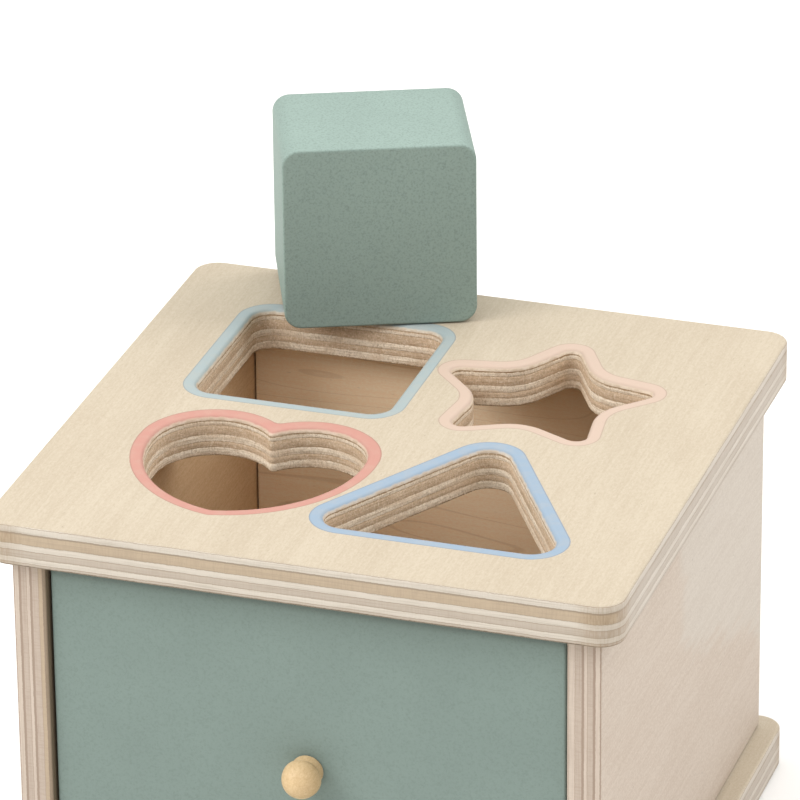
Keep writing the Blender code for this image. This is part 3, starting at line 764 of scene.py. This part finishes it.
def heart_outline(out=0.0):
    """Lobes centred on y = 0, long flank arcs tangent to them, a tip arc and a small arc in the cleft.

    Outside the wall, the tip and the cleft go over to the painted ring's own outline.
    """
    tip_radius = HEART_TIP_RADIUS + out
    tip_drop = HEART_TIP_DROP
    cleft_radius = HEART_CLEFT_RADIUS - out
    if out > 0:
        share = out / RING_WIDTH
        tip_radius = HEART_TIP_RADIUS + share * (RING_HEART_TIP_RADIUS - HEART_TIP_RADIUS)
        tip_drop = HEART_TIP_DROP + share * (RING_HEART_TIP_DROP - HEART_TIP_DROP)
        cleft_radius = HEART_CLEFT_RADIUS + share * (RING_HEART_CLEFT_RADIUS - HEART_CLEFT_RADIUS)
    lobe, tip = Vector((HEART_LOBE_OFFSET, 0)), Vector((0, -tip_drop))
    lobe_radius, flank_radius = HEART_LOBE_RADIUS + out, HEART_FLANK_RADIUS + out
    to_lobe, to_tip = flank_radius - lobe_radius, flank_radius - tip_radius
    apart = (lobe - tip).length
    along = (to_tip**2 - to_lobe**2 + apart**2) / (2 * apart)
    toward = (lobe - tip) / apart
    flank = tip + toward * along + Vector((-toward.y, toward.x)) * math.sqrt(to_tip**2 - along**2)
    at_tip = math.atan2(tip.y - flank.y, tip.x - flank.x)
    at_lobe = math.atan2(lobe.y - flank.y, lobe.x - flank.x)
    cleft = Vector((0, math.sqrt((lobe_radius + cleft_radius) ** 2 - lobe.x**2)))
    at_cleft = math.atan2(cleft.y - lobe.y, cleft.x - lobe.x)
    from_lobe = math.atan2(lobe.y - cleft.y, lobe.x - cleft.x)
    right = arc(tip, tip_radius, -math.pi / 2, at_tip, HEART_TIP_STEPS)
    right += arc(flank, flank_radius, at_tip, at_lobe, HEART_FLANK_STEPS)[1:]
    right += arc(lobe, lobe_radius, at_lobe, at_cleft, HEART_LOBE_STEPS)[1:]
    right += arc(cleft, cleft_radius, from_lobe, -math.pi / 2, HEART_CLEFT_STEPS)[1:]
    left = [(-x, y) for x, y in reversed(right[1:-1])]
    return right + left


def board_outline(out=0.0):
    low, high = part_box("top_board")
    return square_outline(out, high.x - low.x, BOARD_CORNER_RADIUS)


# Meshes

def loop_at(outline, out, height, centre=(0.0, 0.0)):
    return [Vector((x + centre[0], y + centre[1], height)) for x, y in outline(out)]


def skin(shape, loops, wall_from=math.inf):
    """Quads between closed loops of equal length, with the second material from band wall_from on."""
    rows = [[shape.verts.new(point) for point in loop] for loop in loops]
    for band, (upper, lower) in enumerate(zip(rows, rows[1:])):
        for i in range(len(upper)):
            j = (i + 1) % len(upper)
            face = shape.faces.new((upper[i], lower[i], lower[j], upper[j]))
            face.material_index = int(band >= wall_from)
            face.smooth = True
    return rows


def loop_edges(shape, row):
    return [shape.edges.get((row[i - 1], row[i])) for i in range(len(row))]


def cap(shape, rows):
    """One flat face with holes, filled between closed rows of vertices."""
    edges = [edge for row in rows for edge in loop_edges(shape, row)]
    made = bmesh.ops.triangle_fill(shape, use_beauty=True, use_dissolve=False, edges=edges)
    for face in made["geom"]:
        if isinstance(face, bmesh.types.BMFace):
            face.smooth = False


def mark(rows, layer, value):
    for row in rows:
        for vert in row:
            vert[layer] = value


def eased_rim(ease, steps=EASE_STEPS):
    """(inset, drop) pairs for a quarter-round edge, from the flat face to the wall."""
    turns = [math.pi / 2 * i / steps for i in range(steps + 1)]
    return [(ease * (1 - math.sin(a)), ease * (1 - math.cos(a))) for a in turns]


def wall_levels(thickness, start, end, plies):
    """(recess, depth) pairs down a ply edge, with a small groove at each glue line."""
    levels, place = [], 0.0
    for ply in plies[:-1]:
        place += ply[SHARE] * thickness
        levels.append((0.0, place - PLY_GROOVE_HALF_WIDTH))
        levels.append((PLY_GROOVE, place))
        levels.append((0.0, place + PLY_GROOVE_HALF_WIDTH))
    return [level for level in levels if start < level[1] < thickness - end]


def finished_mesh(name, shape, materials, sharp_angle=SHARP_ANGLE):
    bmesh.ops.recalc_face_normals(shape, faces=shape.faces)
    mesh = bpy.data.meshes.new(name)
    shape.to_mesh(mesh)
    shape.free()
    for material in materials:
        mesh.materials.append(material)
    obj = bpy.data.objects.new(name, mesh)
    bpy.context.scene.collection.objects.link(obj)
    flat = [not face.use_smooth for face in mesh.polygons]
    mesh.set_sharp_from_angle(angle=math.radians(sharp_angle))
    mesh.polygons.foreach_set("use_smooth", [not is_flat for is_flat in flat])
    return obj


def stand_in(obj, body, slot, *nodes):
    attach(obj, body)
    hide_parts(*nodes)


# Pieces

def board_loops(low, high):
    """The skin of a square board, from its top face round the edge to its underside."""
    thickness = high - low
    rim = eased_rim(BOARD_EASE)
    flat = -BOARD_EASE - FACE_MARGIN
    loops = [loop_at(board_outline, flat, high)]
    loops += [loop_at(board_outline, -inset, high - drop) for inset, drop in rim]
    for recess, depth in wall_levels(thickness, BOARD_EASE, BOARD_EASE, BOARD_PLIES):
        loops.append(loop_at(board_outline, -recess, high - depth))
    loops += [loop_at(board_outline, -inset, low + drop) for inset, drop in reversed(rim)]
    loops.append(loop_at(board_outline, flat, low))
    return loops


def hole_profile(thickness):
    """(out, depth) pairs of a hole: the painted ring with its eased edge, then the wall under it."""
    ring = [(RING_WIDTH + RING_SURROUND, 0.0), (RING_WIDTH, 0.0), ((RING_WIDTH + RING_EASE) / 2, 0.0)]
    ring += eased_rim(RING_EASE, RING_EASE_STEPS)
    wall = wall_levels(thickness, RING_EASE, HOLE_LOWER_EASE, HOLE_PLIES)
    for inset, drop in reversed(eased_rim(HOLE_LOWER_EASE, HOLE_LOWER_EASE_STEPS)):
        wall.append((inset, thickness - drop))
    wall.append((HOLE_LOWER_EASE + FACE_MARGIN, thickness))
    return ring, wall


def make_top_board():
    """Each vertex says how far outside its hole it is, in millimetres, and the colour of its ring."""
    low, high = (corner.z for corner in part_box("top_board"))
    jitter = random.Random(WALL_SEED)
    shape = bmesh.new()
    from_hole = shape.verts.layers.float.new("from_hole")
    ring_colour = shape.verts.layers.float_color.new("ring_colour")
    outer = skin(shape, board_loops(low, high))
    mark(outer, from_hole, AWAY_FROM_HOLES)
    upper, lower = [outer[0]], [outer[-1]]
    ring, wall = hole_profile(high - low)
    for outline, centre, colour in (
        (square_outline, SQUARE_CENTRE, SAGE_RING),
        (star_outline, STAR_CENTRE, PEACH_RING),
        (heart_outline, HEART_CENTRE, CORAL_RING),
        (triangle_outline, TRIANGLE_CENTRE, BLUE_RING),
    ):
        loops = [loop_at(outline, out, high - depth, centre) for out, depth in ring + wall]
        roughen(loops[len(ring) + 1:-2], jitter)
        rows = skin(shape, loops, wall_from=len(ring) - 1)
        mark(rows, ring_colour, (*colour, 1.0))
        for row, (out, _) in zip(rows, ring):
            mark([row], from_hole, out / MM)
        underside = rows[-2:]
        mark(underside, from_hole, AWAY_FROM_HOLES)
        upper.append(rows[0])
        lower.append(rows[-1])
    cap(shape, upper)
    cap(shape, lower)
    faces = ringed_plywood("plywood_with_rings", "top_board")
    walls = hole_wall_plywood("plywood_hole_walls", "top_board")
    board = finished_mesh("top_board_looks", shape, [faces, walls])
    stand_in(board, "case", "ply_board", "top_board")


def roughen(loops, jitter):
    """Lets a sawn wall's points stray a little, so that the plies catch light unevenly."""
    for loop in loops:
        for point in loop:
            for axis in range(3):
                point[axis] += jitter.uniform(-WALL_STRAY, WALL_STRAY)


def make_base_board():
    low, high = (corner.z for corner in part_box("base_board"))
    shape = bmesh.new()
    rows = skin(shape, board_loops(low, high))
    cap(shape, [rows[0]])
    cap(shape, [rows[-1], *screw_mouths(shape, low)])
    base = finished_mesh("base_board_looks", shape, [base_plywood("plywood_base", "base_board")])
    stand_in(base, "case", "ply_board", "base_board")


def screw_mouths(shape, low):
    """The countersinks in the underside, each closed a little above the screw's head."""
    rims = []
    for side in ("left", "right"):
        for end in ("front", "rear"):
            head_low, head_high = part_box(f"base_screw_{side}_{end}")
            centre = (head_low + head_high) / 2
            mouth = (head_high.x - head_low.x) / 2 + SCREW_MOUTH_MARGIN
            profile = (
                (mouth + SCREW_MOUTH_EASE_OUT, 0.0),
                (mouth, SCREW_MOUTH_EASE_DEPTH),
                (SCREW_SHANK_BORE_RADIUS, SCREW_MOUTH_DEPTH),
            )
            loops = []
            for radius, depth in profile:
                ring = arc(centre, radius, 0, 2 * math.pi, SCREW_MOUTH_SIDES)[:-1]
                loops.append([Vector((x, y, low + depth)) for x, y in ring])
            rows = skin(shape, loops)
            cap(shape, [rows[-1]])
            rims.append(rows[0])
    return rims


def eased_box(node, ease, material):
    """The box of a node, with all its edges rounded."""
    low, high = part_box(node)
    shape = bmesh.new()
    bmesh.ops.create_cube(shape, size=1.0)
    bmesh.ops.scale(shape, vec=high - low, verts=shape.verts)
    bmesh.ops.translate(shape, vec=(low + high) / 2, verts=shape.verts)
    made = bmesh.ops.bevel(
        shape,
        geom=list(shape.edges),
        offset=ease,
        segments=EASE_STEPS,
        profile=0.5,
        affect="EDGES",
        clamp_overlap=True,
    )
    rounded = set(made["faces"])
    for face in shape.faces:
        face.smooth = face in rounded
    return finished_mesh(f"{node}_looks", shape, [material], BOX_SHARP_ANGLE)


def make_case_panels():
    for node, material in (
        ("left_side_panel", left_panel_plywood("plywood_left_side", "left_side_panel")),
        ("right_side_panel", right_panel_plywood("plywood_right_side", "right_side_panel")),
        ("back_panel", back_panel_plywood("plywood_back", "back_panel")),
    ):
        stand_in(eased_box(node, PANEL_EASE, material), "case", "ply_panel", node)


def make_drawer():
    top_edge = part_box("drawer_front")[1].z / MM
    paint = paint_finish("paint_drawer_front", SAGE_SHADED_FRONT, 0.42, (0.55, 1.1, 2.2), top_edge)
    front = eased_box("drawer_front", DRAWER_FRONT_EASE, paint)
    stand_in(front, "drawer", "paint_sage", "drawer_front")
    for side, inward in (("left", 1.0), ("right", -1.0)):
        node = f"drawer_{side}_side"
        dress(node, drawer_side_plywood(f"plywood_{node}", node, inward))
    for node, axis in (("drawer_back", Y), ("drawer_floor", Z)):
        dress(node, drawer_board_plywood(f"plywood_{node}", node, axis))


def dress(node, material):
    """Gives a CAD node that keeps its own shape a new material."""
    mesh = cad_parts[node].data
    mesh.materials.clear()
    mesh.materials.append(material)


def lathe(name, profile, origin, direction, material):
    """A turned piece: profile holds (radius, distance along direction), and its ends close on the axis."""
    turn = Matrix.Translation(origin) @ Vector(direction).to_track_quat("Z", "Y").to_matrix().to_4x4()
    shape = bmesh.new()
    angles = [2 * math.pi * i / TURNED_SIDES for i in range(TURNED_SIDES)]
    loops = []
    for radius, z in profile[1:-1]:
        loops.append([turn @ Vector((radius * math.cos(a), radius * math.sin(a), z)) for a in angles])
    rows = skin(shape, loops)
    for row, (_, z) in ((rows[0], profile[0]), (rows[-1], profile[-1])):
        middle = shape.verts.new(turn @ Vector((0, 0, z)))
        for i, vert in enumerate(row):
            shape.faces.new((middle, vert, row[(i + 1) % TURNED_SIDES])).smooth = True
    return finished_mesh(name, shape, [material])


def make_knob():
    """A bore for the screw, a foot on the drawer's front, a neck that flares to the rim, and a dome."""
    knob_low, knob_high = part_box("drawer_knob")
    length = knob_high.y - knob_low.y
    rim, flare = KNOB_RIM_DISTANCE, KNOB_RADIUS - KNOB_NECK_RADIUS
    waist = (rim + KNOB_FOOT_LENGTH) / 2
    bore = [(0.0, KNOB_BORE_DEPTH), (KNOB_BORE_RADIUS, KNOB_BORE_DEPTH), (KNOB_BORE_RADIUS, 0.0)]
    foot = [(KNOB_FOOT_RADIUS, 0.0), (KNOB_FOOT_RADIUS, KNOB_FOOT_LENGTH)]
    neck = []
    for i in range(KNOB_NECK_STEPS):
        angle = math.pi / 2 * (1 - i / KNOB_NECK_STEPS)
        radius = KNOB_NECK_RADIUS + flare * math.cos(angle) ** 2
        neck.append((radius, rim - (rim - waist) * math.sin(angle)))
    dome = []
    for i in range(KNOB_DOME_STEPS + 1):
        angle = math.pi / 2 * (1 - i / KNOB_DOME_STEPS)
        dome.append((KNOB_RADIUS * math.sin(angle), rim + (length - rim) * math.cos(angle)))
    dome[-1] = (0.0, length)
    wood = solid_wood("knob_wood_looks", KNOB_LIGHT, KNOB_DARK, Y, 0.42)
    seat = (0.0, knob_high.y, KNOB_HEIGHT)
    knob = lathe("drawer_knob_looks", bore + foot + neck + dome, seat, (0, -1, 0), wood)
    stand_in(knob, "drawer", "knob_wood", "drawer_knob")


def block(name, outline, thickness, material, matrix):
    """A flat-sided block cut to the outline and eased all round, lying on z = 0 before matrix places it."""
    rim = eased_rim(BLOCK_EASE)
    wall = -BLOCK_CLEARANCE
    flat = wall - BLOCK_EASE - FACE_MARGIN
    loops = [loop_at(outline, flat, thickness)]
    loops += [loop_at(outline, wall - inset, thickness - drop) for inset, drop in rim]
    loops += [loop_at(outline, wall - inset, drop) for inset, drop in reversed(rim)]
    loops.append(loop_at(outline, flat, 0.0))
    shape = bmesh.new()
    rows = skin(shape, loops)
    cap(shape, [rows[0]])
    cap(shape, [rows[-1]])
    bmesh.ops.transform(shape, matrix=matrix, verts=shape.verts)
    return finished_mesh(name, shape, [material])


def make_blocks():
    for node, outline, centre, colour, slot in (
        ("heart_block", heart_outline, HEART_CENTRE, CORAL, "paint_coral"),
        ("star_block", star_outline, STAR_CENTRE, PEACH, "paint_peach"),
        ("triangle_block", triangle_outline, TRIANGLE_CENTRE, BLUE, "paint_blue"),
    ):
        low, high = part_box(node)
        paint = paint_finish(f"paint_{node}", colour)
        place = Matrix.Translation((*centre, low.z))
        piece = block(f"{node}_looks", outline, high.z - low.z, paint, place)
        stand_in(piece, node, slot, node)
    low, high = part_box("square_block")
    middle = (low + high) / 2
    width = SQUARE_SIDE - 2 * BLOCK_CLEARANCE
    thickness = (high.y - low.y - width * math.sin(BLOCK_YAW)) / math.cos(BLOCK_YAW)
    upright = Matrix.Rotation(math.radians(90), 4, "X")
    centred = Matrix.Translation((0, 0, -thickness / 2))
    place = Matrix.Translation(middle) @ Matrix.Rotation(BLOCK_YAW, 4, "Z") @ upright @ centred
    paint = paint_finish("paint_square_block_looks", SAGE, speckle=0.75)
    piece = block("square_block_looks", square_outline, thickness, paint, place)
    stand_in(piece, "square_block", "paint_sage", "square_block")


def dress_fixings():
    birch = solid_wood("dowel_birch_looks", DOWEL, dimmed(DOWEL, 0.85), Z, 0.6)
    steel = brushed_steel("fixing_steel_looks")
    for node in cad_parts:
        if "dowel" in node:
            dress(node, birch)
        elif "screw" in node or "brad" in node:
            dress(node, steel)


# Stage

def make_floor():
    material, _, shader = new_material("pale_floor", 0.9, 0.1)
    shader.inputs["Base Color"].default_value = (*FLOOR, 1.0)
    shape = bmesh.new()
    bmesh.ops.create_circle(shape, cap_ends=True, radius=FLOOR_RADIUS, segments=FLOOR_SIDES)
    bmesh.ops.translate(shape, vec=(0, 0, -FLOOR_DROP), verts=shape.verts)
    mesh = bpy.data.meshes.new("floor")
    shape.to_mesh(mesh)
    shape.free()
    mesh.materials.append(material)
    floor = bpy.data.objects.new("floor", mesh)
    bpy.context.scene.collection.objects.link(floor)


def soft_light(name, place, size, power):
    data = bpy.data.lights.new(name, "AREA")
    data.shape = "DISK"
    data.size = size
    data.energy = power
    light = bpy.data.objects.new(name, data)
    light.location = place
    light.rotation_euler = (Vector(SOFTBOX_AIM) - Vector(place)).to_track_quat("-Z", "Y").to_euler()
    bpy.context.scene.collection.objects.link(light)


def make_lights():
    """A dome, bright overhead, and three softboxes: left, right and front left."""
    world = bpy.data.worlds.new("studio")
    world.use_nodes = True
    tree = world.node_tree
    height = axis_of(tree, add(tree, "TexCoord").outputs["Generated"], Z)
    brightness = {"Value": height, "From Min": 0.0, "To Min": DOME_LOW, "To Max": DOME_HIGH}
    strength = add(tree, "MapRange", brightness)
    background = tree.nodes["Background"]
    background.inputs["Color"].default_value = (1.0, 1.0, 1.0, 1.0)
    tree.links.new(strength.outputs[0], background.inputs["Strength"])
    bpy.context.scene.world = world
    for name, (place, size, power) in SOFTBOXES.items():
        soft_light(name, place, size, power)


def make_camera():
    yaw, pitch = CAMERA_YAW, CAMERA_PITCH
    forward = Vector((-math.sin(yaw) * math.cos(pitch), math.cos(yaw) * math.cos(pitch), -math.sin(pitch)))
    level = Vector((math.cos(yaw), math.sin(yaw), 0.0))
    drop = forward.cross(level)
    right = math.cos(CAMERA_ROLL) * level + math.sin(CAMERA_ROLL) * drop
    down = -math.sin(CAMERA_ROLL) * level + math.cos(CAMERA_ROLL) * drop
    board_middle = Vector((0.0, 0.0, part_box("top_board")[1].z))
    aim = board_middle - right * BOARD_MIDDLE_RIGHT - down * BOARD_MIDDLE_DOWN
    data = bpy.data.cameras.new("camera")
    data.lens = CAMERA_LENS
    data.sensor_width = SENSOR_WIDTH
    camera = bpy.data.objects.new("camera", data)
    turn = Matrix((right, -down, -forward)).transposed().to_4x4()
    camera.matrix_world = Matrix.Translation(aim - forward * CAMERA_DISTANCE) @ turn
    bpy.context.scene.collection.objects.link(camera)
    bpy.context.scene.camera = camera


make_camera()
make_lights()
make_floor()
make_top_board()
make_base_board()
make_case_panels()
make_drawer()
make_knob()
make_blocks()
dress_fixings()
bpy.context.scene.view_settings.view_transform = "Standard"

bpy.context.view_layer.update()
